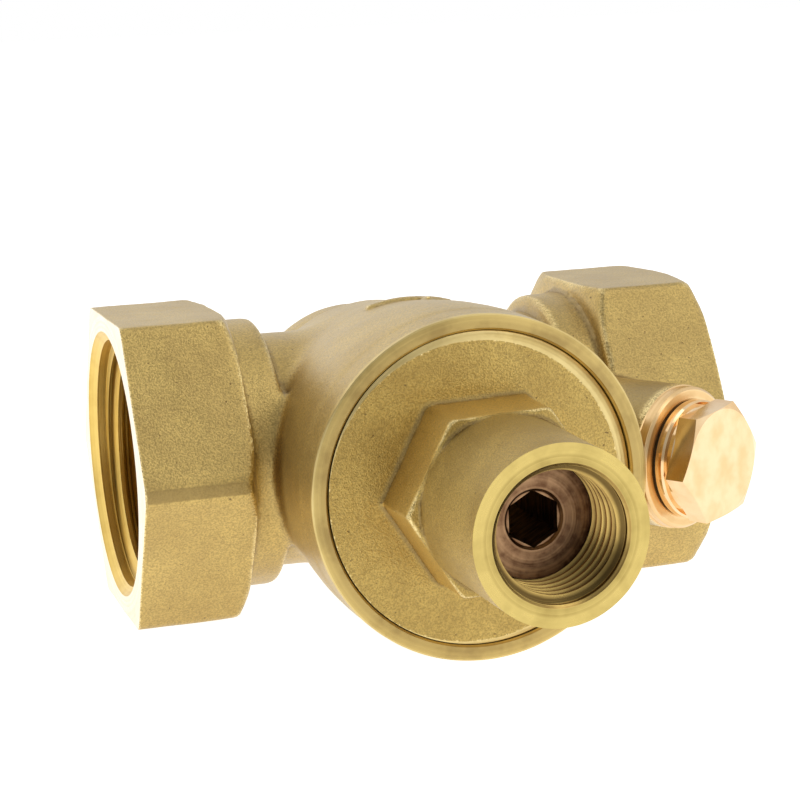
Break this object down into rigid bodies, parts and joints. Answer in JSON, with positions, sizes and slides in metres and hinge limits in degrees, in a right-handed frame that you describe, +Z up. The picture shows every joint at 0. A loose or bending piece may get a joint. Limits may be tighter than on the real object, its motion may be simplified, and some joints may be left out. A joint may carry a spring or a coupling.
{
  "type": "pressure reducing valve",
  "caption": "Forged brass inline pressure reducing valve with threaded hexagon ends, a screwed-in spring bonnet with a hollow nose, and a plugged gauge port.",
  "frame": {"origin": "centre of the inlet mouth, on the pipe axis", "axes": "+X along the pipe towards the outlet, -Y out through the bonnet nose, +Z up"},
  "size_m": [0.0806, 0.0877, 0.044],
  "materials": {
    "forged_brass": "forged and sand-blasted",
    "turned_brass": "turned",
    "tarnished_brass": "turned and tarnished",
    "polished_brass": "polished",
    "stainless": "turned",
    "spring_steel": "drawn wire",
    "seal_rubber": "matt",
    "guide_plastic": "matt"
  },
  "bodies": {
    "valve": {"valve_body": "forged_brass", "seat_ring": "turned_brass", "seat_o_ring": "seal_rubber", "bonnet": "forged_brass", "bonnet_o_ring": "seal_rubber", "gauge_plug": "polished_brass", "plug_gasket": "seal_rubber", "main_spring": "spring_steel"},
    "piston_set": {"piston": "turned_brass", "piston_o_ring": "seal_rubber", "piston_guide_ring": "guide_plastic", "stem": "stainless", "stem_washer": "stainless", "stem_nut": "stainless", "disc_holder": "turned_brass", "balance_o_ring": "seal_rubber", "disc_seal": "seal_rubber", "disc_washer": "stainless", "disc_nut": "stainless"},
    "spring_plate": {"spring_plate": "turned_brass"},
    "adjusting_screw": {"adjusting_screw": "tarnished_brass"}
  },
  "joints": [
    {"name": "piston_slide", "type": "slide", "parent": "valve", "child": "piston_set", "axis": [0, -1, 0], "range_m": [0, 0.003], "stiffness_N_per_m": 12000, "springref_m": -0.004, "deforming": ["main_spring"]},
    {"name": "plate_slide", "type": "slide", "parent": "valve", "child": "spring_plate", "axis": [0, 1, 0], "range_m": [-0.0015, 0.00375], "deforming": ["main_spring"]},
    {"name": "screw_turn", "type": "hinge", "parent": "spring_plate", "child": "adjusting_screw", "pos_m": [0.0395, -0.0548, 0], "axis": [0, 1, 0], "range_deg": [-360, 900]}
  ],
  "couplings": [
    {"joint": "screw_turn", "follows": "plate_slide", "rad_per_m": 4188.8}
  ]
}
